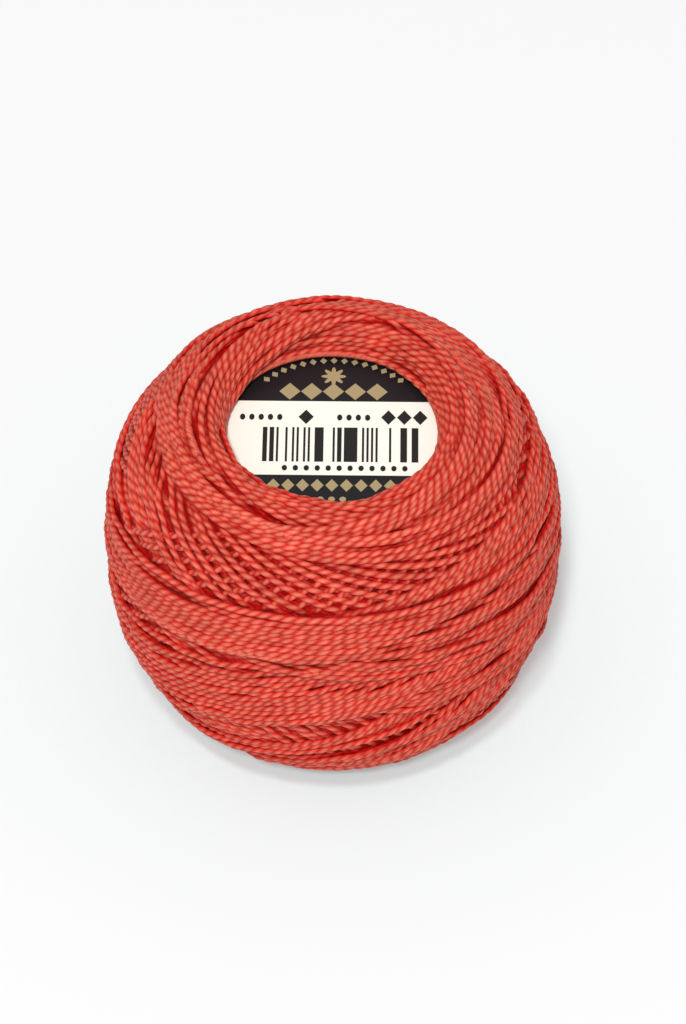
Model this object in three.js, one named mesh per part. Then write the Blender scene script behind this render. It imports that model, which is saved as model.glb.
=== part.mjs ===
// A ball of pearl cotton thread, wound in tilted turns so that both ends are left hollow, with a
// round card label held in the upper hollow by the turns that lap over its edge.
//
// Millimetres, +Z up along the axis that the thread is wound round. The origin is the centre of the
// flat ring that the ball stands on. The label's print reads upright from the -Y side.
import * as THREE from "three";

// Driving dimensions of the wound form
const BELLY_RADIUS = 22.4; // widest, half way up
const DOME_HEIGHT = 20.8; // from mid height to where the flank's curve would close on the axis
const FLANK_POWER = 2.55; // 2 is an ellipse, more is squarer
const SHOULDER_RADIUS = 14.5; // the flank's curve ends here and the rim begins
const RIM = { outer: 13.1, crest: 12.4, inner: 10.5, height: 18.7 }; // the rim's round, above mid height
const LIP = { radius: 10.0, height: 15.2 }; // the innermost turns, above mid height
const HALF_HEIGHT = 18.35; // mid height to the flat ring

// The label and the slot that holds it
const LABEL_RADIUS = 11.1;
const LABEL_THICKNESS = 0.8;
const LABEL_TOP = 14.7; // above mid height
const CLEARANCE = 0.3; // all round the label
const HOLLOW_DEPTH = LABEL_TOP - LABEL_THICKNESS - CLEARANCE; // floor of each end, from mid height

// How finely the wound form is faceted
const TURN_STEPS = 90; // round the axis
const FLANK_STEPS = 30; // shoulder to shoulder
const SHOULDER_STEPS = 2; // shoulder to crest
const LIP_STEPS = 6; // crest to lip

// The main wraps of thread, from the oldest to the newest. Each is a belt of many turns that leans
// to one side. lean: the azimuth of its highest side, in degrees from the -Y side, towards +X.
// top and bottom: its edges' mean distance above mid height, measured along the surface. sway: how
// far each edge swings to the high and the low side. rise: how far the belt stands proud.
const WRAPS = [
  { name: "upper belt", lean: 185, top: 22.6, bottom: 11.5, sway: 2.9, rise: 0.3 },
  { name: "lower belt", lean: 20, top: -11.0, bottom: -22.5, sway: 2.9, rise: 0.3 },
  { name: "steep belt", lean: 80, top: -2.0, bottom: -9.5, sway: 8.5, rise: 0.3 },
  { name: "counter belt", lean: -95, top: -6.0, bottom: -12.5, sway: 6.5, rise: 0.3 },
  { name: "rising belt", lean: 85, top: 6.5, bottom: 0.5, sway: 5.8, rise: 0.3 },
  { name: "falling belt", lean: -75, top: 5.5, bottom: 1.5, sway: 5.0, rise: 0.25 },
  { name: "slanted belt", lean: 165, top: 16.2, bottom: 9.8, sway: 6.2, rise: 0.4 },
];
const EDGE_SOFTNESS = 1.4; // how far a belt's edge takes to rise
const RELIEF_FADE = { from: 17.0, to: 22.5 }; // wraps die out between these distances from mid height
const RELIEF_MEAN = 0.5; // taken off all round, so that the wraps keep the form's size

const COTTON_RED = 0xd8483e;
const LABEL_BLACK = 0x1c1a20;

// The flank: a superellipse from the lower shoulder to the upper one, as [radius, height] points.
function flank() {
  const shoulderAngle = Math.acos((SHOULDER_RADIUS / BELLY_RADIUS) ** (FLANK_POWER / 2));
  const points = [];
  for (let i = 0; i <= FLANK_STEPS; i++) {
    const angle = shoulderAngle * ((2 * i) / FLANK_STEPS - 1);
    const rise = Math.abs(Math.sin(angle)) ** (2 / FLANK_POWER);
    points.push(
      new THREE.Vector2(
        BELLY_RADIUS * Math.cos(angle) ** (2 / FLANK_POWER),
        DOME_HEIGHT * rise * Math.sign(angle),
      ),
    );
  }
  return points;
}

// The rim: from a shoulder over the crest and down to the lip. side is 1 for the upper end, -1 for
// the lower one.
function rim(shoulder, side) {
  const crest = new THREE.Vector2(RIM.crest, RIM.height * side);
  const outside = new THREE.QuadraticBezierCurve(
    shoulder,
    new THREE.Vector2(RIM.outer, RIM.height * side),
    crest,
  );
  const inside = new THREE.QuadraticBezierCurve(
    crest,
    new THREE.Vector2(RIM.inner, RIM.height * side),
    new THREE.Vector2(LIP.radius, LIP.height * side),
  );
  return [
    ...outside.getPoints(SHOULDER_STEPS).slice(1),
    ...inside.getPoints(LIP_STEPS).slice(1),
  ];
}

// The whole profile, from the axis at the lower hollow's floor, out over the flank and in to the
// axis at the upper hollow's floor. The lower rim is flattened where the ball stands.
function woundProfile() {
  const side = flank();
  const upperRim = rim(side[side.length - 1], 1);
  const lowerRim = rim(side[0], -1).reverse();
  const slotRadius = LABEL_RADIUS + CLEARANCE;
  const slotTop = LABEL_TOP + CLEARANCE;
  const points = [
    new THREE.Vector2(0, -HOLLOW_DEPTH),
    new THREE.Vector2(LIP.radius, -HOLLOW_DEPTH),
    ...lowerRim,
    ...side,
    ...upperRim,
    new THREE.Vector2(LIP.radius, slotTop),
    new THREE.Vector2(slotRadius, slotTop),
    new THREE.Vector2(slotRadius, HOLLOW_DEPTH),
    new THREE.Vector2(0, HOLLOW_DEPTH),
  ];
  for (const point of points) point.y = Math.max(point.y, -HALF_HEIGHT);
  return points;
}

// Height of the wraps over the plain form, at an azimuth and a distance along the surface.
function wrapRelief(azimuth, along) {
  const reach = THREE.MathUtils.smoothstep(Math.abs(along), RELIEF_FADE.from, RELIEF_FADE.to);
  let height = -RELIEF_MEAN;
  for (const wrap of WRAPS) {
    const swing = wrap.sway * Math.cos(azimuth - THREE.MathUtils.degToRad(wrap.lean));
    const belowTop = THREE.MathUtils.smoothstep(
      wrap.top + swing - along,
      -EDGE_SOFTNESS / 2,
      EDGE_SOFTNESS / 2,
    );
    const aboveBottom = THREE.MathUtils.smoothstep(
      along - wrap.bottom - swing,
      -EDGE_SOFTNESS / 2,
      EDGE_SOFTNESS / 2,
    );
    height += wrap.rise * belowTop * aboveBottom;
  }
  return height * (1 - reach);
}

// Distance of each profile point from mid height, measured along the profile.
function distancesAlong(profile) {
  const distances = [0];
  for (let i = 1; i < profile.length; i++)
    distances.push(distances[i - 1] + profile[i].distanceTo(profile[i - 1]));
  const middle = profile.reduce((best, p, i) => (p.x > profile[best].x ? i : best), 0);
  return distances.map((d) => d - distances[middle]);
}

// The profile turned round the axis, with the wraps' relief pushed out of it.
function woundGeometry() {
  const profile = woundProfile();
  const along = distancesAlong(profile);
  const geometry = new THREE.LatheGeometry(profile, TURN_STEPS);
  const position = geometry.getAttribute("position");
  const normal = geometry.getAttribute("normal");
  for (let i = 0; i < position.count; i++) {
    const azimuth = Math.atan2(position.getX(i), position.getZ(i));
    const height = wrapRelief(azimuth, along[i % profile.length]);
    position.setXYZ(
      i,
      position.getX(i) + normal.getX(i) * height,
      position.getY(i) + normal.getY(i) * height,
      position.getZ(i) + normal.getZ(i) * height,
    );
  }
  return geometry;
}

function cottonBall() {
  const cotton = new THREE.MeshStandardMaterial({ color: COTTON_RED, roughness: 0.55 });
  const ball = new THREE.Mesh(woundGeometry(), cotton);
  ball.name = "wound_thread";
  return ball;
}

function endLabel() {
  const card = new THREE.MeshStandardMaterial({ color: LABEL_BLACK, roughness: 0.35 });
  const disc = new THREE.Mesh(
    new THREE.CylinderGeometry(LABEL_RADIUS, LABEL_RADIUS, LABEL_THICKNESS, TURN_STEPS),
    card,
  );
  disc.name = "end_label";
  disc.position.y = LABEL_TOP - LABEL_THICKNESS / 2;
  return disc;
}

// Lathe and cylinder turn round +Y, so the group is laid back to bring that axis to +Z, and is
// raised to stand on its flat ring.
const part = new THREE.Group();
part.add(cottonBall(), endLabel());
part.rotation.x = Math.PI / 2;
part.position.z = HALF_HEIGHT;

export default part;
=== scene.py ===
"""A ball of pearl cotton: one length of two-ply thread, wound turn by turn, with a round card label."""
import math

import bpy
import numpy as np
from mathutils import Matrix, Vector


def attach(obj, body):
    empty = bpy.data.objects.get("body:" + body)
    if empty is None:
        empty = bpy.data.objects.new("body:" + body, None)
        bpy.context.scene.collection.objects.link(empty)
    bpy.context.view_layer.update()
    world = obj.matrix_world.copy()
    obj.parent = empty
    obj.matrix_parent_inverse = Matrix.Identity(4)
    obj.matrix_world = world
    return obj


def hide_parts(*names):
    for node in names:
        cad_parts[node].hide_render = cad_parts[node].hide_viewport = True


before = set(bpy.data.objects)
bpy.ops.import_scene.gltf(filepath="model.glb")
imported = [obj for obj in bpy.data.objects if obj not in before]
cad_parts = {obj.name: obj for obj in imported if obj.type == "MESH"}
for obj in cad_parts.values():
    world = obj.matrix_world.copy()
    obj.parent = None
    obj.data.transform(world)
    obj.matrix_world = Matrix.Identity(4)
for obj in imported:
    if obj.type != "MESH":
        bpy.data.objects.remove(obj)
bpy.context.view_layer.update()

MM = 0.001

# ---- winding: numpy only, in millimetres ----

# The wound form's profile, above and below mid height
BELLY_RADIUS = 22.4
DOME_HEIGHT = 20.8
FLANK_POWER = 2.55
SHOULDER_RADIUS = 14.5
RIM = {"outer": 13.1, "crest": 12.4, "inner": 10.5, "height": 18.7}
LIP = {"radius": 10.0, "height": 15.2}
HALF_HEIGHT = 18.35
PROFILE_POINTS = {"flank": 400, "outside": 60, "inside": 100}  # to the shoulder, the crest and the lip

# The label, and the hollows behind the lips
LABEL_RADIUS = 11.1
LABEL_THICKNESS = 0.8
LABEL_TOP = HALF_HEIGHT + 14.7
CLEARANCE = 0.3  # under the label
HOLLOW_RADIUS = LIP["radius"] + 1.3
HOLLOW_FLOOR = 4.75  # of the lower hollow, above the floor that the ball stands on

# The thread
THREAD_RADIUS = 0.335
SQUEEZED_RADIUS = 0.25  # half its height where it lies pressed on other turns
FIRM_RADIUS = 0.225  # half the width that other turns cannot press in
TWIST_PITCH = 2.35  # one whole turn of the two plies

# The winding, from the oldest turns to the newest. A turn is a tilted loop round the ball. lean is
# the azimuth of its highest point in degrees from -Y towards +X, and high and low are how far that
# point and the one across from it lie from mid height, measured along the surface. Each column
# gives the row's first and last turn. paired draws its turns together two by two.
WINDING = [
    dict(name="core rising", turns=74, lean=(95, 85), high=(-16, 27), low=(-27, 16)),
    dict(name="core falling", turns=50, lean=(-80, -100), high=(24, -14), low=(12, -25)),
    dict(name="steep", turns=14, lean=(-110, -45), high=(15.5, 15.5), low=(-24.5, -24.5)),
    dict(name="low rim", turns=16, lean=(80, 80), high=(-28.6, -19.6), low=(-28.6, -22.6)),
    dict(name="low fan", turns=10, lean=(20, 40), high=(-9.5, -15.5), low=(-17, -24)),
    dict(name="rim", turns=16, lean=(-95, -110), high=(28.6, 22.4), low=(28.6, 18.6)),
    dict(name="back belt", turns=7, lean=(190, 190), high=(19.0, 22.6), low=(6, 9.6)),
    dict(name="under fan 1", turns=12, lean=(-118, -58), high=(21, 21), low=(-1, -1)),
    dict(name="under fan 2", turns=22, lean=(0, 135), high=(21, 21), low=(-14, -5)),
    dict(name="fan", turns=15, lean=(-132, -35), high=(21, 19.5), low=(-3, 11), paired=0.2),
    dict(name="inner ring", turns=8, lean=(-92, -100), high=(27.4, 23.2), low=(20.6, 16.4), paired=0.15),
    dict(name="ridge", turns=5, lean=(110, 110), high=(21.1, 23.0), low=(17.5, 19.4)),
    dict(name="fan top", turns=6, lean=(-60, -55), high=(17.9, 20.3), low=(14.7, 17.1)),
    dict(name="low belt", turns=10, lean=(20, 10), high=(-15.5, -10.5), low=(-23.5, -18.5)),
    dict(name="climb 1", turns=6, lean=(100, 100), high=(4.2, 7.0), low=(-15.8, -13.0)),
    dict(name="climb 2", turns=12, lean=(105, 105), high=(-2.8, 3.5), low=(-23.8, -17.5)),
    dict(name="ledge", turns=8, lean=(15, 15), high=(-1.9, 2.0), low=(-13.4, -9.5)),
    dict(name="left belt", turns=12, lean=(-100, -105), high=(4.1, 10.4), low=(-4.1, 2.2)),
    dict(name="rising", turns=13, lean=(65, 50), high=(2.5, 8.0), low=(-13.5, -5.4)),
    dict(name="falling", turns=7, lean=(-30, -30), high=(4.9, 8.0), low=(-3.7, -0.6)),
    dict(name="right belt", turns=10, lean=(65, 55), high=(14.1, 9.3), low=(5.3, 0.7)),
    dict(name="slanted", turns=10, lean=(8, 5), high=(6.5, 11.4), low=(-3.0, 3.0)),
]

SEEDS = {"wobble": 3, "twist": 5, "tone": 8}
SEAM = math.radians(200)  # the azimuth at which turns are counted
TURN_SAMPLES = 940
LOOK_AHEAD = 60  # samples of the next turn that a turn's height takes into account
CELL = 0.05  # of the height map, along the surface, up and down
COLUMNS = 1408  # of the height map, round the ball
FAR = 1.2  # a turn that lies further than this from the one before it goes over to its place smoothly
WOBBLE = [(9, 0.02), (31, 0.035)]  # (smoothness, size) of a hand's small wanderings off the loop
WOBBLE_KNOTS = 24  # places in a turn where the wandering is drawn
WOBBLE_LIMIT = 1.2  # against its size
END_ROOM = 0.3  # the yarn keeps this far from the profile's ends
SLACK = 4.0  # how much more closely than a taut string the thread follows the form
PULLS = 160  # times that each turn is drawn taut
PERCH = 0.3  # how far a turn may lie above what is beside it
BRIDGE = 0.08  # how far it may stand clear of what it goes over
BESIDE = np.array([-2.4, -1.6, -0.8, 0.8, 1.6, 2.4])  # where a turn's surroundings are measured
SECTION_EDGE = 0.98  # how much of the thread's half width is measured and stamped
CONTACT_SPOTS, STAMP_SPOTS = 9, 17  # across the thread, where it is measured and stamped
STAMP_SAMPLES = 2200  # round a turn
SOFTENING = 9  # samples over which a turn's height is averaged
LEVELLING = 41  # samples over which what it goes over is averaged, for BRIDGE
BLUR = 2.0  # the form is evened out over this distance
CROWD_BLUR = 0.5  # and over this one, for the turns close by


def bezier(a, b, c, count):
    """Points of a quadratic curve from a to c, without its first."""
    t = np.linspace(0, 1, count)[1:, None]
    return (1 - t) ** 2 * np.array(a) + 2 * t * (1 - t) * np.array(b) + t * t * np.array(c)


def wound_profile():
    """Distance from mid height along the surface, and [radius, height], lowest to highest."""
    end = math.acos((SHOULDER_RADIUS / BELLY_RADIUS) ** (FLANK_POWER / 2))
    t = np.linspace(0, end, PROFILE_POINTS["flank"])
    power = 2 / FLANK_POWER
    flank = np.stack([BELLY_RADIUS * np.cos(t) ** power, DOME_HEIGHT * np.sin(t) ** power], 1)
    crest, lip = (RIM["crest"], RIM["height"]), (LIP["radius"], LIP["height"])
    outside = bezier(flank[-1], (RIM["outer"], RIM["height"]), crest, PROFILE_POINTS["outside"])
    inside = bezier(crest, (RIM["inner"], RIM["height"]), lip, PROFILE_POINTS["inside"])
    upper = np.concatenate([flank, outside, inside])
    lower = upper[:0:-1] * (1, -1)
    points = np.concatenate([lower, upper])
    points[:, 1] = np.maximum(points[:, 1], -HALF_HEIGHT)
    along = np.r_[0, np.cumsum(np.hypot(*np.diff(points, axis=0).T))]
    return along - along[len(lower)], points


ALONG, PROFILE = wound_profile()
ROWS = np.arange(ALONG[0], ALONG[-1], CELL)


def loop_terms(row, part):
    """A turn as mean, cosine and sine terms; part runs from 0 at the row's first turn to 1."""
    lean, high, low = (row[key][0] * (1 - part) + row[key][1] * part for key in ("lean", "high", "low"))
    sway = (high - low) / 2
    return (high + low) / 2, sway * math.cos(math.radians(lean)), sway * math.sin(math.radians(lean))


def smooth_noise(rng, count, width):
    """Noise of about unit size, smoothed over width samples."""
    window = np.hanning(width + 2)[1:-1]
    window /= np.sqrt((window**2).sum())
    return np.convolve(rng.normal(size=count), window, "same")


def yarn_path():
    """Azimuth and distance from mid height at each sample of the whole yarn."""
    turns = []
    for row in WINDING:
        for k in range(row["turns"]):
            place = k + row.get("paired", 0) * (-1) ** k
            turns.append(loop_terms(row, place / max(row["turns"] - 1, 1)))
    terms = np.array(turns + turns[-1:])
    part = np.arange(TURN_SAMPLES) / TURN_SAMPLES
    azimuth = SEAM + 2 * math.pi * part
    basis = np.stack([np.ones_like(azimuth), np.cos(azimuth), np.sin(azimuth)])
    path = []
    for a, b in zip(terms[:-1], terms[1:]):
        far = np.abs(b - a).max() > FAR
        ease = part * part * (3 - 2 * part) if far else part
        path.append((a[:, None] * basis).sum(0) * (1 - ease) + (b[:, None] * basis).sum(0) * ease)
    s = np.concatenate(path)
    rng = np.random.default_rng(SEEDS["wobble"])
    knots = len(turns) * WOBBLE_KNOTS
    place = np.linspace(0, knots - 1, len(s))
    for width, size in WOBBLE:
        drawn = np.clip(smooth_noise(rng, knots, width), -WOBBLE_LIMIT, WOBBLE_LIMIT)
        s += size * np.interp(place, np.arange(knots), drawn)
    return np.tile(azimuth, len(turns)), np.clip(s, ROWS[0] + END_ROOM, ROWS[-1] - END_ROOM)


def cells(azimuth, s):
    """Columns and rows of the height map at places on the surface."""
    column = np.mod(np.rint(azimuth / (2 * math.pi) * COLUMNS).astype(int), COLUMNS)
    return column, np.clip(np.rint((s - ROWS[0]) / CELL).astype(int), 0, len(ROWS) - 1)


def box_blur(values, width, axis, wrap):
    """Means over width cells to either side along an axis, which may wrap round."""
    pad = [(0, 0), (0, 0)]
    pad[axis] = (width + 1, width)
    total = np.cumsum(np.pad(values, pad, mode="wrap" if wrap else "edge"), axis=axis)
    size = values.shape[axis]
    ends = np.arange(size) + 2 * width + 1
    return (np.take(total, ends, axis) - np.take(total, ends - 2 * width - 1, axis)) / (2 * width + 1)


def evened(heights, distance):
    """The height map blurred by three boxes, each reaching two thirds of a distance to either side."""
    column_width = int(distance / (2 * math.pi * BELLY_RADIUS / COLUMNS) / 1.5)
    row_width = int(distance / CELL / 1.5)
    blurred = heights.astype(float)
    for _ in range(3):
        blurred = box_blur(box_blur(blurred, column_width, 0, True), row_width, 1, False)
    return blurred


def crown(offset, half_width):
    """Height of the thread's surface over its centre line, off to one side."""
    return np.sqrt(half_width**2 - offset**2) * SQUEEZED_RADIUS / half_width


def stamp(heights, turn, half_width):
    """Raises the height map to the crown of a turn."""
    offset = np.linspace(-SECTION_EDGE, SECTION_EDGE, STAMP_SPOTS) * half_width
    dense = np.linspace(0, TURN_SAMPLES - 1, STAMP_SAMPLES)
    a, b, r, across, up, high = (
        np.interp(dense, np.arange(TURN_SAMPLES), turn[key])[:, None]
        for key in ("azimuth", "s", "radius", "side_round", "side_up", "centre")
    )
    spot = cells(a + across * offset / r, b + up * offset)
    np.maximum.at(heights, spot, (high + crown(offset, half_width)).astype(np.float32))


def smoothing(width):
    """Weights of a moving average over width samples."""
    window = np.hanning(width + 2)
    return window[1:-1] / window.sum()


def wind():
    """Lays the yarn turn on turn. Gives the yarn's samples and the height map of the result."""
    azimuth, s = yarn_path()
    radius = np.interp(s, ALONG, PROFILE[:, 0])
    step_round = radius * 2 * math.pi / TURN_SAMPLES
    step_up = np.gradient(s)
    step = np.hypot(step_round, step_up)
    side_round, side_up = -step_up / step, step_round / step
    heights = np.zeros((COLUMNS, len(ROWS)), np.float32)
    centre = np.zeros(len(s))
    yarn = dict(azimuth=azimuth, s=s, radius=radius, centre=centre, step=step)
    yarn.update(side_round=side_round, side_up=side_up)
    contact = np.linspace(-SECTION_EDGE, SECTION_EDGE, CONTACT_SPOTS) * FIRM_RADIUS
    lift = crown(contact, FIRM_RADIUS)
    kernel, wide = smoothing(SOFTENING), smoothing(LEVELLING)
    reach, wide_reach = len(kernel) // 2, len(wide) // 2
    before = None
    for first in range(0, len(s), TURN_SAMPLES):
        view = slice(first, min(first + TURN_SAMPLES + LOOK_AHEAD, len(s)))
        a, b, r, across, up = (v[view, None] for v in (azimuth, s, radius, side_round, side_up))
        under = heights[cells(a + across * contact / r, b + up * contact)]
        near = heights[cells(a + across * BESIDE / r, b + up * BESIDE)]
        rest = (under + lift).max(1)
        rest = np.minimum(rest, near.mean(1) + SQUEEZED_RADIUS + PERCH)
        if before is None:
            before = np.full(reach, rest[0])
        taut = np.r_[before[-1], rest, rest[-1]]
        droop = step[view] ** 2 * SLACK / (2 * BELLY_RADIUS)
        for _ in range(PULLS):
            taut[1:-1] = np.maximum(rest, (taut[:-2] + taut[2:]) / 2 - droop)
            taut[-1] = taut[-2]
        mean_rest = np.convolve(np.pad(rest, wide_reach, mode="edge"), wide, "valid")
        taut = np.minimum(taut[1:-1], np.maximum(rest, mean_rest + BRIDGE))
        soft = np.convolve(np.r_[before, taut, np.full(reach, taut[-1])], kernel, "valid")
        before = taut[TURN_SAMPLES - reach:TURN_SAMPLES]
        turn = slice(first, first + TURN_SAMPLES)
        centre[turn] = soft[:TURN_SAMPLES]
        stamp(heights, {key: value[turn] for key, value in yarn.items()}, FIRM_RADIUS)
    seen = np.zeros_like(heights)
    for first in range(0, len(s), TURN_SAMPLES):
        turn = slice(first, first + TURN_SAMPLES)
        stamp(seen, {key: value[turn] for key, value in yarn.items()}, THREAD_RADIUS)
    return yarn, seen


YARN, HEIGHTS = wind()

# ---- from the height map to the wound form ----

SINK = (0.2, 0.08)  # how far the evened form lies inside the profile, on the flank and at the rims
SINK_END = (21.0, 25.5)  # the first goes over to the second between these distances from mid height
CREVICE = 0.5  # levels deeper than this are drawn together
CREVICE_DEPTH, CREVICE_PACE = 0.4, 0.8  # the most that they then add, and how soon they reach it
PROUD = 0.2  # the highest level
SLOPE_SPAN = 0.15  # how far to either side the surface's slope is measured
OPENING = (20.0, 27.0)  # between these distances the upper opening draws off the axis
OPENING_SHIFT = 0.45  # towards -Y


def pressed(level):
    """A level over the evened form, with the deepest brought up and the highest pressed down."""
    deep, high = np.maximum(-CREVICE - level, 0), np.maximum(level, 0)
    added = PROUD * np.tanh(high / PROUD)
    return np.clip(level, -CREVICE, 0) - CREVICE_DEPTH * np.tanh(deep / CREVICE_PACE) + added


EVEN = evened(HEIGHTS, BLUR)
CROWD = evened(HEIGHTS, CROWD_BLUR)


def surface(azimuth, s, height):
    """Points in metres, in the CAD frame, at a height over the evened form; and the normals there."""
    def on_profile(s):
        return np.stack([np.interp(s, ALONG, PROFILE[:, i]) for i in (0, 1)])

    r, z = on_profile(s)
    ahead, behind = (np.clip(s + step, ALONG[0], ALONG[-1]) for step in (SLOPE_SPAN, -SLOPE_SPAN))
    dr, dz = on_profile(ahead) - on_profile(behind)
    size = np.hypot(dr, dz)
    out, rise = dz / size, -dr / size
    height = height - np.interp(np.abs(s), SINK_END, SINK)
    r = r + out * height
    z = z + rise * height + HALF_HEIGHT
    east, south = np.sin(azimuth), -np.cos(azimuth)
    shift = OPENING_SHIFT * np.interp(s, OPENING, (0, 1))
    points = np.stack([r * east, r * south - shift, z], -1) * MM
    return points, np.stack([out * east, out * south, rise], -1)


GLIMPSE = 0.03  # a thread shows where it comes this near the surface of the turns over it
GLIMPSE_EDGE, GLIMPSE_SPOTS = 0.96, 9  # how much of its half width is looked at, at so many spots
SIDE_DEPTH = 0.05  # or where what lies beside it is this much lower than its centre
SIDE_SPOTS = np.array([-0.95, -0.7, -0.42, 0.42, 0.7, 0.95])  # where that is looked at
RUN_MARGIN = 4  # samples that are kept past each end of a stretch that shows
RUN_GAP = 12  # rings: stretches nearer to each other than this are joined
RUN_LEAST = 4  # rings: shorter stretches are left out


def visible_samples():
    """Which samples of the yarn can be seen, from above or from the side of a gap."""
    a, b, r = (v[:, None] for v in (YARN["azimuth"], YARN["s"], YARN["radius"]))
    across, up, high = (YARN[key][:, None] for key in ("side_round", "side_up", "centre"))

    def top_at(offset):
        return HEIGHTS[cells(a + across * offset / r, b + up * offset)]

    over = np.linspace(-GLIMPSE_EDGE, GLIMPSE_EDGE, GLIMPSE_SPOTS) * THREAD_RADIUS
    above = high + crown(over, THREAD_RADIUS) > top_at(over) - GLIMPSE
    open_side = high - SIDE_DEPTH > top_at(SIDE_SPOTS)
    return above.any(1) | open_side.any(1)


# ---- the thread ----

RINGS_PER_BEAD = 5
RING_STEP = TWIST_PITCH / 2 / RINGS_PER_BEAD
SECTION = np.radians([-98, -56, 0, 56, 98])
SECTION_UP = np.array([-0.6, 0.56, 1, 0.56, -0.6])  # its sides go down to the turns it lies on
FULLNESS = 1.04  # of the plies, against the thread's mean section
PLY_GROOVE = (0.14, 0.34)  # how far in the groove between the plies reaches, across and up
GROOVE_SHADE_POWER = 1.7  # the painted shade in the groove between the plies is wider than the groove the more this is over 1
FLANK_SHADE_SHARE = np.array([1, 0.5, 0, 0.5, 1])  # how much of the edge's painted shade shows, round the section
COTTON_PAINTED_LIGHT = {  # the thread's own colour on its crown, made lighter there as a painted highlight; then painted shade between its plies, at its edges and deep under others
    "crown": np.array([0.73, 0.183, 0.118]),
    "groove": np.array([0.45, 0.015, 0.008]),
    "edge": np.array([0.59, 0.007, 0.003]),
    "deep": np.array([0.40, 0.0015, 0.001]),
}
CROWD_ROOM = 0.1  # a thread's centre lies at least this far below the mean height close by
DEPTH_RANGE, DEPTH_START = 0.38, 0.1  # depth over which the colour turns to the painted shade of "deep", and that shade's share at 0
TANGENT_SPAN = 0.1  # how far to either side the yarn's direction is measured
TONE_SPACING = 9.0  # along the yarn, between the places where its tone is drawn
TONE_WIDTH = 5  # places over which the tone is smoothed
PIECE_RINGS = 19000  # keeps each piece under 200,000 triangles
ROWS_IN_MAP = 120  # rows of thread in a piece's UV map
ROW_MARGIN = 0.08  # of a row's height, left free at its edges
CAP_SPOT = 0.001  # the spot that the closed ends share


def visible_runs():
    """[first, last] ring numbers of the stretches of yarn that show, a little past each end."""
    shown = visible_samples()
    wide = np.convolve(shown, np.ones(2 * RUN_MARGIN + 1), "same") > 0
    edges = np.flatnonzero(np.diff(np.r_[0, wide.astype(int), 0]))
    starts, ends = edges[::2], edges[1::2] - 1
    distance = np.cumsum(YARN["step"])
    runs = []
    for a, b in zip(np.ceil(distance[starts] / RING_STEP), np.floor(distance[ends] / RING_STEP)):
        if runs and a - runs[-1][1] < RUN_GAP:
            runs[-1][1] = int(b)
        elif b - a > RUN_LEAST:
            runs.append([int(a), int(b)])
    return runs


DRIFT_KNOTS, DRIFT_SPACING = 20000, 12  # places where the twist's unevenness is drawn, rings apart
DRIFT_SIZE = 0.9  # in rings
DRIFT_WIDTH, DRIFT_LIMIT = 3, 2  # its smoothness, and its limit against its size
DRIFT_NOISE = smooth_noise(np.random.default_rng(SEEDS["twist"]), DRIFT_KNOTS, DRIFT_WIDTH)
TWIST_DRIFT = np.clip(DRIFT_NOISE, -DRIFT_LIMIT, DRIFT_LIMIT)


def ring_place(rings):
    """Distance along the yarn of each ring; the twist is a little tighter here and looser there."""
    drift = np.interp(rings, np.arange(DRIFT_KNOTS) * DRIFT_SPACING, TWIST_DRIFT)
    return (rings + DRIFT_SIZE * drift) * RING_STEP


def yarn_frames(distance):
    """Centres and normals of the yarn at distances along it."""
    along = np.cumsum(YARN["step"])
    turn_azimuth = YARN["azimuth"] + 2 * math.pi * (np.arange(len(along)) // TURN_SAMPLES)
    spot = cells(YARN["azimuth"], YARN["s"])
    level = pressed(np.minimum(YARN["centre"], CROWD[spot] - CROWD_ROOM) - EVEN[spot])
    return surface(*(np.interp(distance, along, v) for v in (turn_azimuth, YARN["s"], level)))


def yarn_depth(distance):
    """How deep the yarn lies below the turns around it, from 0 to 1, at distances along it; this is the share
    of its painted shade.
    """
    below = CROWD[cells(YARN["azimuth"], YARN["s"])] - YARN["centre"] - SQUEEZED_RADIUS
    depth = np.interp(distance, np.cumsum(YARN["step"]), below)
    return np.clip(depth / DEPTH_RANGE + DEPTH_START, 0, 1)


def thread_vertices(rings):
    """Vertices of sheared rings: each follows a ply's edge over the thread, so grooves stay crisp."""
    distance = ring_place(rings)[:, None] - TWIST_PITCH * SECTION / (2 * math.pi)
    flat = distance.ravel()
    centre, normal = yarn_frames(flat)
    ahead, behind = yarn_frames(flat + TANGENT_SPAN)[0], yarn_frames(flat - TANGENT_SPAN)[0]
    tangent = ahead - behind
    tangent /= np.linalg.norm(tangent, axis=1)[:, None]
    normal = normal - (normal * tangent).sum(1)[:, None] * tangent
    normal /= np.linalg.norm(normal, axis=1)[:, None]
    side = np.cross(tangent, normal)
    crest = np.sin(math.pi * (rings % RINGS_PER_BEAD) / RINGS_PER_BEAD)
    groove, groove_shade = (np.repeat(1 - crest**power, len(SECTION)) for power in (1, GROOVE_SHADE_POWER))
    sides, ups = np.tile(np.sin(SECTION), len(rings)), np.tile(SECTION_UP, len(rings))
    across = THREAD_RADIUS * MM * (FULLNESS - PLY_GROOVE[0] * groove) * sides
    up = SQUEEZED_RADIUS * MM * (FULLNESS - PLY_GROOVE[1] * groove) * ups
    points = centre + up[:, None] * normal + across[:, None] * side
    points[:, 2] = np.maximum(points[:, 2], 0)
    # painted light: the crown's colour, darkened as painted shade in the ply grooves, at the thread's sides
    # and where it lies deep under other turns
    colour = np.tile(COTTON_PAINTED_LIGHT["crown"], (len(flat), 1))
    for name, part in (("groove", groove_shade), ("edge", np.tile(FLANK_SHADE_SHARE, len(rings))), ("deep", yarn_depth(flat))):
        colour += (COTTON_PAINTED_LIGHT[name] - colour) * part[:, None]
    return points, colour


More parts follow.
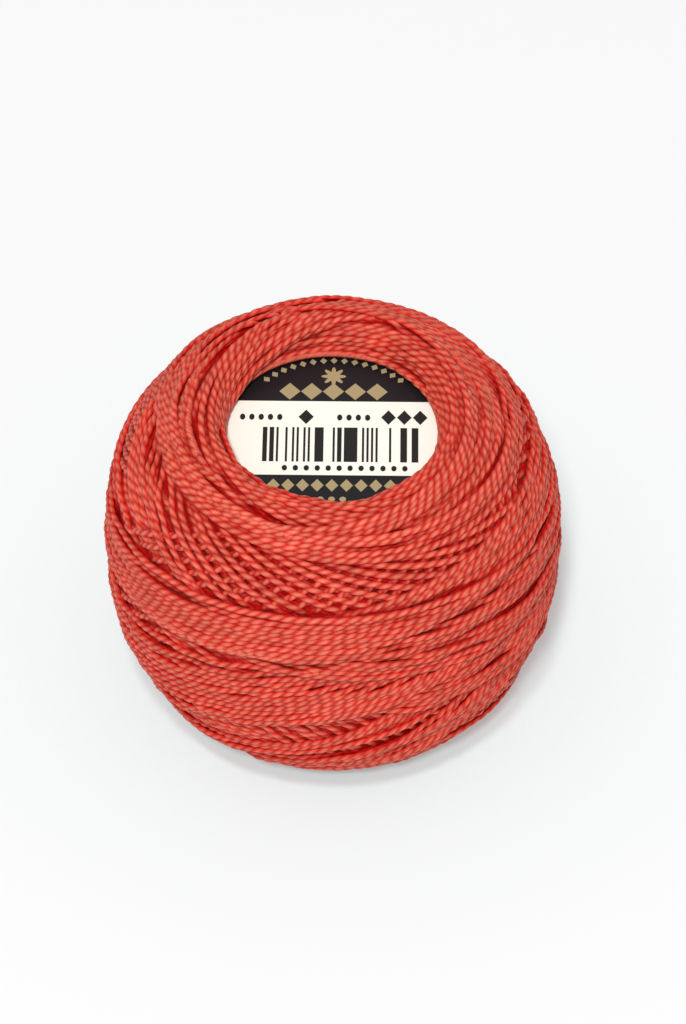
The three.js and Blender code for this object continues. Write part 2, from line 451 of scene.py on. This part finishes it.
def mesh_object(name, points, faces, smooth=True):
    """faces: an array of quads, or a list of arrays of polygons of one size each."""
    groups = faces if isinstance(faces, list) else [faces]
    mesh = bpy.data.meshes.new(name)
    loops = np.concatenate([g.ravel() for g in groups])
    sizes = np.concatenate([np.full(len(g), g.shape[1]) for g in groups])
    mesh.vertices.add(len(points))
    mesh.vertices.foreach_set("co", points.astype(np.float32).ravel())
    mesh.loops.add(len(loops))
    mesh.loops.foreach_set("vertex_index", loops.astype(np.int32))
    mesh.polygons.add(len(sizes))
    mesh.polygons.foreach_set("loop_start", np.r_[0, np.cumsum(sizes)[:-1]].astype(np.int32))
    mesh.polygons.foreach_set("use_smooth", np.full(len(sizes), smooth))
    mesh.update(calc_edges=True)
    mesh.validate()
    piece = bpy.data.objects.new(name, mesh)
    bpy.context.scene.collection.objects.link(piece)
    return piece


def point_attribute(piece, name, values, kind="FLOAT", key="value"):
    attribute = piece.data.attributes.new(name, kind, "POINT")
    attribute.data.foreach_set(key, np.asarray(values, np.float32).ravel())


def thread_piece(name, runs, tone):
    """One piece of the winding, from runs of rings."""
    rings = np.concatenate([np.arange(a, b + 1) for a, b in runs])
    points, colour = thread_vertices(rings)
    count = len(SECTION)
    joined = np.flatnonzero(np.diff(rings) == 1)
    here = joined[:, None] * count + np.arange(count)
    after = here + count
    turned, turned_after = np.roll(here, -1, 1), np.roll(after, -1, 1)
    quads = np.stack([here, after, turned_after, turned], -1).reshape(-1, 4)
    lengths = np.array([b - a + 1 for a, b in runs])
    firsts = np.r_[0, np.cumsum(lengths)[:-1]]
    lasts = firsts + lengths - 1
    caps = np.concatenate([
        firsts[:, None] * count + np.arange(count),
        lasts[:, None] * count + np.arange(count)[::-1],
    ])
    piece = mesh_object(name, points, [quads, caps])
    # the thread's red, with a painted highlight on the crown and painted shade in grooves, at edges and deep
    # down
    point_attribute(piece, "dye_with_painted_light", colour, "FLOAT_VECTOR", "vector")
    point_attribute(piece, "tone", np.repeat(np.interp(rings * RING_STEP, *tone), count))
    # UV: threads lie side by side in rows, and their closed ends share one spot
    per_row = math.ceil(len(joined) / ROWS_IN_MAP)
    number = np.arange(len(joined))
    row, place = number // per_row, number % per_row
    strip = np.arange(count + 1) / count * (1 - 2 * ROW_MARGIN) + ROW_MARGIN
    u0, u1 = place / per_row, (place + 1) / per_row
    v = (row[:, None] + strip[None, :]) / ROWS_IN_MAP
    corners = np.stack([
        np.stack([np.repeat(u0[:, None], count, 1), v[:, :-1]], -1),
        np.stack([np.repeat(u1[:, None], count, 1), v[:, :-1]], -1),
        np.stack([np.repeat(u1[:, None], count, 1), v[:, 1:]], -1),
        np.stack([np.repeat(u0[:, None], count, 1), v[:, 1:]], -1),
    ], 2).reshape(-1, 2)
    caps_uv = np.full((caps.size, 2), CAP_SPOT)
    layer = piece.data.uv_layers.new(name="OFBake")
    layer.data.foreach_set("uv", np.concatenate([corners, caps_uv]).astype(np.float32).ravel())
    return piece


def wound_threads():
    runs = visible_runs()
    rng = np.random.default_rng(SEEDS["tone"])
    spots = np.arange(0, YARN["step"].sum(), TONE_SPACING)
    tone = spots, smooth_noise(rng, len(spots), TONE_WIDTH)
    pieces, batch, size = [], [], 0
    for run in runs:
        if batch and size + run[1] - run[0] + 1 > PIECE_RINGS:
            pieces.append(thread_piece(f"winding_{len(pieces) + 1}", batch, tone))
            batch, size = [], 0
        batch.append(run)
        size += run[1] - run[0] + 1
    pieces.append(thread_piece(f"winding_{len(pieces) + 1}", batch, tone))
    shown, whole = sum(b - a for a, b in runs) * RING_STEP * MM, YARN["step"].sum() * MM
    print(f"{len(runs)} runs, {shown:.2f} m of {whole:.1f} m shown, in {len(pieces)} pieces")
    return pieces


# ---- the form under the thread ----

BED_COLUMNS, BED_ROWS = 330, 140
BED_DEPTH = 0.28  # below the centres of the deepest turns
BED_COLUMN_REACH = 4  # cells to either side in which the lowest level is looked for
BED_ROW_STEP, BED_ROW_ROUNDS = 2, 3  # and cells up and down, so many times over
BED_LIFT = 0.05  # above the floor that the ball stands on


def circle(radius, height, sides):
    """Points round the axis, from -Y towards +X."""
    angles = np.arange(sides) / sides * 2 * math.pi
    return np.stack([radius * np.sin(angles), -radius * np.cos(angles), np.full(sides, height)], -1)


def thread_bed():
    """The wound form under the turns that show, closed across its two hollows."""
    lowest = HEIGHTS
    for shift in range(1, BED_COLUMN_REACH + 1):
        lowest = np.minimum.reduce([lowest, np.roll(HEIGHTS, shift, 0), np.roll(HEIGHTS, -shift, 0)])
    for _ in range(BED_ROW_ROUNDS):
        steps = (np.roll(lowest, shift, 1) for shift in (BED_ROW_STEP, -BED_ROW_STEP))
        lowest = np.minimum.reduce([lowest, *steps])
    a = np.arange(BED_COLUMNS) / BED_COLUMNS * 2 * math.pi
    s = np.linspace(ALONG[0], ALONG[-1], BED_ROWS)
    a, s = (v.ravel() for v in np.meshgrid(a, s, indexing="ij"))
    spot = cells(a, s)
    height = pressed(lowest[spot] - SQUEEZED_RADIUS - EVEN[spot]) + SQUEEZED_RADIUS - BED_DEPTH
    points, _ = surface(a, s, height)
    points[:, 2] = np.maximum(points[:, 2], BED_LIFT * MM)
    column, row = np.meshgrid(np.arange(BED_COLUMNS), np.arange(BED_ROWS - 1), indexing="ij")
    after = (column + 1) % BED_COLUMNS
    quads = np.stack([
        column * BED_ROWS + row, after * BED_ROWS + row,
        after * BED_ROWS + row + 1, column * BED_ROWS + row + 1,
    ], -1).reshape(-1, 4)
    # each hollow's wall goes on to its floor
    rings, walls = [], []
    base = len(points)
    under_label = LABEL_TOP - LABEL_THICKNESS - CLEARANCE
    for edge, floor, way in ((0, HOLLOW_FLOOR, 1), (BED_ROWS - 1, under_label, -1)):
        last = np.arange(BED_COLUMNS) * BED_ROWS + edge
        for level in (points[last[0], 2] / MM, floor):
            number = base + np.arange(BED_COLUMNS)
            rings.append(circle(HOLLOW_RADIUS, level, BED_COLUMNS) * MM)
            quad = np.stack([last, number, np.roll(number, -1), np.roll(last, -1)], -1)
            walls.append(quad if way > 0 else quad[:, ::-1])
            last = number
            base += BED_COLUMNS
        rings.append(np.array([[0, 0, floor * MM]]))
        hub = np.full(BED_COLUMNS, base)
        fan = np.stack([last, hub, np.roll(last, -1)], -1)
        walls.append(fan if way > 0 else fan[:, ::-1])
        base += 1
    points = np.concatenate([points] + rings)
    fours = np.concatenate([quads] + [w for w in walls if w.shape[1] == 4])
    threes = np.concatenate([w for w in walls if w.shape[1] == 3])
    return mesh_object("thread_bed", points, [fours, threes])


# ---- the label ----

LABEL_SIDES = 128
LABEL_EDGE = 0.12  # radius of the card's edge
LABEL_RINGS = (9.0, 6.0, 3.0)  # radii of the face's rings
SHARP_ANGLE = math.radians(30)
LABEL_MAP_SIZE = 2.4 * LABEL_RADIUS  # what the UV map's width stands for
UNDERSIDE_CORNER, UNDERSIDE_SCALE = 0.01, 0.05  # where the underside lies in it, and how small


def label_card():
    """A disc with a softly rounded edge."""
    low = LABEL_TOP - LABEL_THICKNESS
    section = [
        (LABEL_RADIUS - LABEL_EDGE, low),
        (LABEL_RADIUS, low + LABEL_EDGE),
        (LABEL_RADIUS, LABEL_TOP - LABEL_EDGE),
        (LABEL_RADIUS - LABEL_EDGE, LABEL_TOP),
        *((radius, LABEL_TOP) for radius in LABEL_RINGS),
    ]
    points = [circle(radius, height, LABEL_SIDES) for radius, height in section]
    points = np.concatenate(points + [np.array([[0, 0, LABEL_TOP], [0, 0, low]])]) * MM
    here = np.arange(LABEL_SIDES)
    beside = np.roll(here, -1)
    quads = np.concatenate([
        np.stack([here, beside, beside + LABEL_SIDES, here + LABEL_SIDES], -1) + k * LABEL_SIDES
        for k in range(len(section) - 1)
    ])
    hub = len(section) * LABEL_SIDES
    last = (len(section) - 1) * LABEL_SIDES
    threes = np.concatenate([
        np.stack([here + last, beside + last, np.full(LABEL_SIDES, hub)], -1),
        np.stack([beside, here, np.full(LABEL_SIDES, hub + 1)], -1),
    ])
    card = mesh_object("label_card", points, [quads, threes])
    card.data.set_sharp_from_angle(angle=SHARP_ANGLE)
    layer = card.data.uv_layers.new(name="OFBake")
    spots = points[[loop.vertex_index for loop in card.data.loops]]
    # UV: seen from above, with the underside small in a corner
    flat = 0.5 + spots[:, :2] / (LABEL_MAP_SIZE * MM)
    sides = card.data.polygons
    under = np.repeat([side.normal.z < -0.5 for side in sides], [side.loop_total for side in sides])
    flat[under] = UNDERSIDE_CORNER + UNDERSIDE_SCALE * flat[under]
    layer.data.foreach_set("uv", flat.astype(np.float32).ravel())
    return card


# ---- materials ----

COTTON_NOISE = {"fibre": (9000.0, 2.0), "patch": (350.0, 1.0), "bead": (1300.0, 1.0)}  # (scale, detail)
COTTON_LIGHT = {"base": 0.6, "bead": 0.5, "patch": 0.3, "tone": 0.04}  # what the thread's colour, with its painted highlight and shade, is multiplied by
COTTON_ROUGHNESS = {"base": 0.42, "fibre": 0.16}
COTTON_BUMP = {"Strength": 0.25, "Distance": 0.00003}
COTTON_FINISH = {
    "Sheen Weight": 0.08,
    "Sheen Roughness": 0.4,
    "Sheen Tint": (1.0, 0.6, 0.45, 1),
    "Specular IOR Level": 0.1,
}
BED_WAVE = {"Scale": 650.0, "Distortion": 3.0, "Detail": 1.0}
BED_SHADE_COLOURS = (0.22, 0.0010, 0.0007, 1), (0.32, 0.002, 0.0012, 1)  # painted shade of the deeper turns, in the waves' troughs and on their crests
BED_BUMP = {"Strength": 0.5, "Distance": 0.0002}
BED_FINISH = {"Roughness": 0.8, "Specular IOR Level": 0.1}
CARD_FINISH = {"Roughness": 0.4, "Specular IOR Level": 0.35}


def new_material(name, finish):
    """A material with its node tree and its shader, which has the values of finish."""
    material = bpy.data.materials.new(name)
    material.use_nodes = True
    tree = material.node_tree
    shader = tree.nodes["Principled BSDF"]
    for key, value in finish.items():
        shader.inputs[key].default_value = value
    return material, tree, shader


def node(tree, kind, inputs=None, **settings):
    """A node with its settings, and its inputs linked or set."""
    made = tree.nodes.new(kind)
    for key, value in settings.items():
        setattr(made, key, value)
    for key, value in (inputs or {}).items():
        if isinstance(value, bpy.types.NodeSocket):
            tree.links.new(value, made.inputs[key])
        else:
            made.inputs[key].default_value = value
    return made


def math_node(tree, operation, *values, clamp=False):
    made = node(tree, "ShaderNodeMath", dict(enumerate(values)), operation=operation, use_clamp=clamp)
    return made.outputs[0]


def mix_colour(tree, factor, a, b):
    made = node(tree, "ShaderNodeMix", {0: factor}, data_type="RGBA")
    for key, value in ((6, a), (7, b)):
        if isinstance(value, bpy.types.NodeSocket):
            tree.links.new(value, made.inputs[key])
        else:
            made.inputs[key].default_value = value
    return made.outputs[2]


def noise(tree, place, scale, detail):
    inputs = {"Vector": place, "Scale": scale, "Detail": detail}
    return node(tree, "ShaderNodeTexNoise", inputs).outputs["Fac"]


def cotton_material():
    material, tree, shader = new_material("pearl_cotton", COTTON_FINISH)
    tone = node(tree, "ShaderNodeAttribute", attribute_name="tone").outputs["Fac"]
    # the thread's red with its painted highlight and painted shade, from the mesh
    dye_with_painted_light = node(tree, "ShaderNodeAttribute", attribute_name="dye_with_painted_light").outputs["Vector"]
    place = node(tree, "ShaderNodeTexCoord").outputs["Object"]
    fibre, patch, bead = (noise(tree, place, *COTTON_NOISE[name]) for name in ("fibre", "patch", "bead"))
    light = COTTON_LIGHT["base"]
    for name, part in (("bead", bead), ("patch", patch), ("tone", tone)):
        light = math_node(tree, "MULTIPLY_ADD", part, COTTON_LIGHT[name], light)
    colour = node(tree, "ShaderNodeVectorMath", {0: dye_with_painted_light, "Scale": light}, operation="SCALE").outputs["Vector"]
    tree.links.new(colour, shader.inputs["Base Color"])
    roughness = math_node(tree, "MULTIPLY_ADD", fibre, COTTON_ROUGHNESS["fibre"], COTTON_ROUGHNESS["base"])
    tree.links.new(roughness, shader.inputs["Roughness"])
    bump = node(tree, "ShaderNodeBump", {**COTTON_BUMP, "Height": fibre})
    tree.links.new(bump.outputs[0], shader.inputs["Normal"])
    return material


# the under layers are painted dark red as shade, where gaps between the turns show them
def shaded_bed_material():
    material, tree, shader = new_material("cotton_under_layers_painted_shade", BED_FINISH)
    place = node(tree, "ShaderNodeTexCoord").outputs["Object"]
    wave = node(tree, "ShaderNodeTexWave", {"Vector": place, **BED_WAVE}, bands_direction="Z").outputs["Fac"]
    tree.links.new(mix_colour(tree, wave, *BED_SHADE_COLOURS), shader.inputs["Base Color"])
    bump = node(tree, "ShaderNodeBump", {**BED_BUMP, "Height": wave})
    tree.links.new(bump.outputs[0], shader.inputs["Normal"])
    return material


# The label's print: millimetres from its centre, x to the right and y up, turned a little
PRINT_TURN = math.radians(-0.7)
BAND = (-5.35, 4.2)  # the pale band's lower and upper edge
ROSETTE = {"level": 7.5, "petals": 8.0, "radius": 0.92, "swing": 0.28}
STRIPES = {"across": (-6.75, 8.6), "up": (-3.65, 0.8), "per_mm": 4.6}
GOLD_ARC = dict(first=-0.80, last=0.80, level=9.6, count=15, size=(0.036, 0.42))  # across in radians
GOLD_ROWS = [
    dict(first=-5.3, last=5.3, level=5.5, count=5, size=(1.03, 1.1)),
    dict(first=-6.3, last=6.3, level=-6.65, count=9, size=(0.62, 0.8)),
    dict(first=-1.6, last=1.6, level=-8.4, count=3, size=(0.32, 0.32), round_marks=True),
]
INK_ROWS = [
    dict(first=-9.2, last=-4.7, level=2.1, count=5, size=(0.26, 0.4), round_marks=True),
    dict(first=-3.6, last=-1.6, level=2.15, count=1, size=(0.75, 0.95)),
    dict(first=0.2, last=3.8, level=2.1, count=4, size=(0.26, 0.4), round_marks=True),
    dict(first=4.6, last=9.2, level=2.15, count=3, size=(0.72, 0.95)),
    dict(first=-5.1, last=7.5, level=-4.45, count=12, size=(0.26, 0.36), round_marks=True),
]
PRINT_BLACK = (0.010, 0.009, 0.011, 1)
PRINT_CREAM = (0.95, 0.92, 0.82, 1)
PRINT_GOLD = (0.40, 0.31, 0.16, 1)
PRINT_INK = (0.014, 0.012, 0.012, 1)


def within(tree, value, low, high):
    """1 where a value lies between low and high, and 0 elsewhere."""
    return math_node(tree, "COMPARE", value, (low + high) / 2, (high - low) / 2)


def marks(tree, x, y, first, last, level, count, size, round_marks=False):
    """A row of lozenges or dots from first to last; size is half their width and height."""
    pitch = (last - first) / count
    along = math_node(tree, "FRACT", math_node(tree, "DIVIDE", math_node(tree, "SUBTRACT", x, first), pitch))
    side = math_node(tree, "ABSOLUTE", math_node(tree, "SUBTRACT", along, 0.5))
    side = math_node(tree, "MULTIPLY", side, pitch / size[0])
    up = math_node(tree, "ABSOLUTE", math_node(tree, "SUBTRACT", y, level))
    up = math_node(tree, "DIVIDE", up, size[1])
    if round_marks:
        side, up = math_node(tree, "POWER", side, 2.0), math_node(tree, "POWER", up, 2.0)
    inside = math_node(tree, "LESS_THAN", math_node(tree, "ADD", side, up), 1.0)
    return math_node(tree, "MULTIPLY", inside, within(tree, x, first, last))


def either(tree, *masks):
    """1 where any of the masks is."""
    total = masks[0]
    for mask in masks[1:]:
        total = math_node(tree, "MAXIMUM", total, mask)
    return total


def hypot(tree, x, y):
    """Distance from the place where x and y are 0."""
    squares = (math_node(tree, "POWER", math_node(tree, "ABSOLUTE", value), 2.0) for value in (x, y))
    return math_node(tree, "SQRT", math_node(tree, "ADD", *squares))


def label_material():
    material, tree, shader = new_material("printed_card", CARD_FINISH)
    place = node(tree, "ShaderNodeTexCoord").outputs["Object"]
    turned = node(tree, "ShaderNodeVectorRotate", {"Vector": place, "Angle": -PRINT_TURN},
                  rotation_type="Z_AXIS")
    split = node(tree, "ShaderNodeSeparateXYZ", {0: turned.outputs[0]})
    x, y = (math_node(tree, "MULTIPLY", split.outputs[i], 1 / MM) for i in (0, 1))
    # a plain ornament above, below and across the band
    high = math_node(tree, "SUBTRACT", y, ROSETTE["level"])
    turn = math_node(tree, "ARCTAN2", high, x)
    petals = math_node(tree, "COSINE", math_node(tree, "MULTIPLY", turn, ROSETTE["petals"]))
    outline = math_node(tree, "MULTIPLY_ADD", petals, ROSETTE["swing"], ROSETTE["radius"])
    rosette = math_node(tree, "LESS_THAN", hypot(tree, x, high), outline)
    bearing = math_node(tree, "ARCTAN2", x, y)
    arc = marks(tree, bearing, hypot(tree, x, y), **GOLD_ARC)
    gold = either(tree, arc, rosette, *(marks(tree, x, y, **row) for row in GOLD_ROWS))
    number = math_node(tree, "FLOOR", math_node(tree, "MULTIPLY", x, STRIPES["per_mm"]))
    stripe = node(tree, "ShaderNodeTexWhiteNoise", {"W": number}, noise_dimensions="1D").outputs["Value"]
    dark = math_node(tree, "GREATER_THAN", stripe, 0.5)
    stripes = math_node(tree, "MULTIPLY", dark, within(tree, x, *STRIPES["across"]))
    stripes = math_node(tree, "MULTIPLY", stripes, within(tree, y, *STRIPES["up"]))
    ink = either(tree, stripes, *(marks(tree, x, y, **row) for row in INK_ROWS))
    colour = mix_colour(tree, gold, PRINT_BLACK, PRINT_GOLD)
    paper = mix_colour(tree, ink, PRINT_CREAM, PRINT_INK)
    colour = mix_colour(tree, within(tree, y, *BAND), colour, paper)
    tree.links.new(colour, shader.inputs["Base Color"])
    return material


# ---- the object ----

cotton = cotton_material()
for piece in wound_threads():
    piece.data.materials.append(cotton)
    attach(piece, "root")
    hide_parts("wound_thread")

bed = thread_bed()
bed.data.materials.append(shaded_bed_material())
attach(bed, "root")
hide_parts("wound_thread")

card = label_card()
card.data.materials.append(label_material())
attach(card, "root")
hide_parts("end_label")

# ---- floor, light and camera ----

FLOOR_SIZE = 2.0  # metres from the middle to each edge
FLOOR_COLOURS = (0.6, 0.6, 0.6, 1), (0.4, 0.6, 0.608, 1)  # all over, and at the ball
FLOOR_FINISH = {
    "Emission Color": (1, 1, 1, 1),
    "Emission Strength": 0.296,
    "Roughness": 0.9,
    "Specular IOR Level": 0.1,
}
FOOT_RADIUS = 0.018  # metres: where the ball's foot meets the floor
TINT_WIDE = {"length": 0.0155, "share": 0.52}  # how far the colour at the ball reaches, and how much of it
TINT_CLOSE = {"length": 0.0011, "share": 0.05}  # and what is added right at the foot


def fading(tree, away, length):
    """1 at the ball's foot, and less the further away, over a length in metres."""
    exponent = math_node(tree, "MULTIPLY_ADD", away, -1 / length, FOOT_RADIUS / length)
    return math_node(tree, "EXPONENT", exponent)


def stage_floor():
    corners = np.array([[-1, -1, 0], [1, -1, 0], [1, 1, 0], [-1, 1, 0]]) * FLOOR_SIZE
    floor = mesh_object("floor", corners, np.array([[0, 1, 2, 3]]), smooth=False)
    material, tree, shader = new_material("pale_floor", FLOOR_FINISH)
    # near the ball the floor is a little bluer, to even out the red that the ball throws on it
    place = node(tree, "ShaderNodeTexCoord").outputs["Object"]
    away = node(tree, "ShaderNodeVectorMath", {0: place}, operation="LENGTH").outputs["Value"]
    close = math_node(tree, "MULTIPLY", fading(tree, away, TINT_CLOSE["length"]), TINT_CLOSE["share"])
    wide = fading(tree, away, TINT_WIDE["length"])
    near = math_node(tree, "MULTIPLY_ADD", wide, TINT_WIDE["share"], close, clamp=True)
    tree.links.new(mix_colour(tree, near, *FLOOR_COLOURS), shader.inputs["Base Color"])
    floor.data.materials.append(material)


LAMP_SIZE = 0.15  # metres
LAMPS = [  # metres and watts
    dict(name="key", place=(-0.107, -0.875, 1.229), power=10.7),
    dict(name="high", place=(-0.10, -0.62, 1.37), power=7.9),
]
LIT_SPOT = (0, 0, 0.015)


def area_light(name, place, power):
    light = bpy.data.lights.new(name, "AREA")
    light.shape = "DISK"
    light.size = LAMP_SIZE
    light.energy = power
    lamp = bpy.data.objects.new(name, light)
    lamp.location = place
    lamp.rotation_euler = (Vector(LIT_SPOT) - Vector(place)).to_track_quat("-Z", "Y").to_euler()
    bpy.context.scene.collection.objects.link(lamp)


def stage_world(strength):
    world = bpy.data.worlds.new("studio")
    world.use_nodes = True
    background = world.node_tree.nodes["Background"]
    background.inputs["Color"].default_value = (1, 1, 1, 1)
    background.inputs["Strength"].default_value = strength
    bpy.context.scene.world = world


CAMERA_ELEVATION = math.radians(49)
CAMERA_DISTANCE = 0.450  # metres
CAMERA_LENS = 160
LOOK_OFFSET = (0.00099, 0.00208)  # metres right and up of the ball's centre, in the picture


def stage_camera():
    data = bpy.data.cameras.new("camera")
    data.lens = CAMERA_LENS
    data.clip_start = 0.01
    camera = bpy.data.objects.new("camera", data)
    back = Vector((0, -math.cos(CAMERA_ELEVATION), math.sin(CAMERA_ELEVATION)))
    up = Vector((0, math.sin(CAMERA_ELEVATION), math.cos(CAMERA_ELEVATION)))
    target = Vector((LOOK_OFFSET[0], 0, HALF_HEIGHT * MM)) + up * LOOK_OFFSET[1]
    camera.location = target + back * CAMERA_DISTANCE
    camera.rotation_euler = (math.pi / 2 - CAMERA_ELEVATION, 0, 0)
    bpy.context.scene.collection.objects.link(camera)
    bpy.context.scene.camera = camera


stage_floor()
stage_world(strength=0.44)
for lamp in LAMPS:
    area_light(**lamp)
stage_camera()
bpy.context.scene.view_settings.view_transform = "Standard"
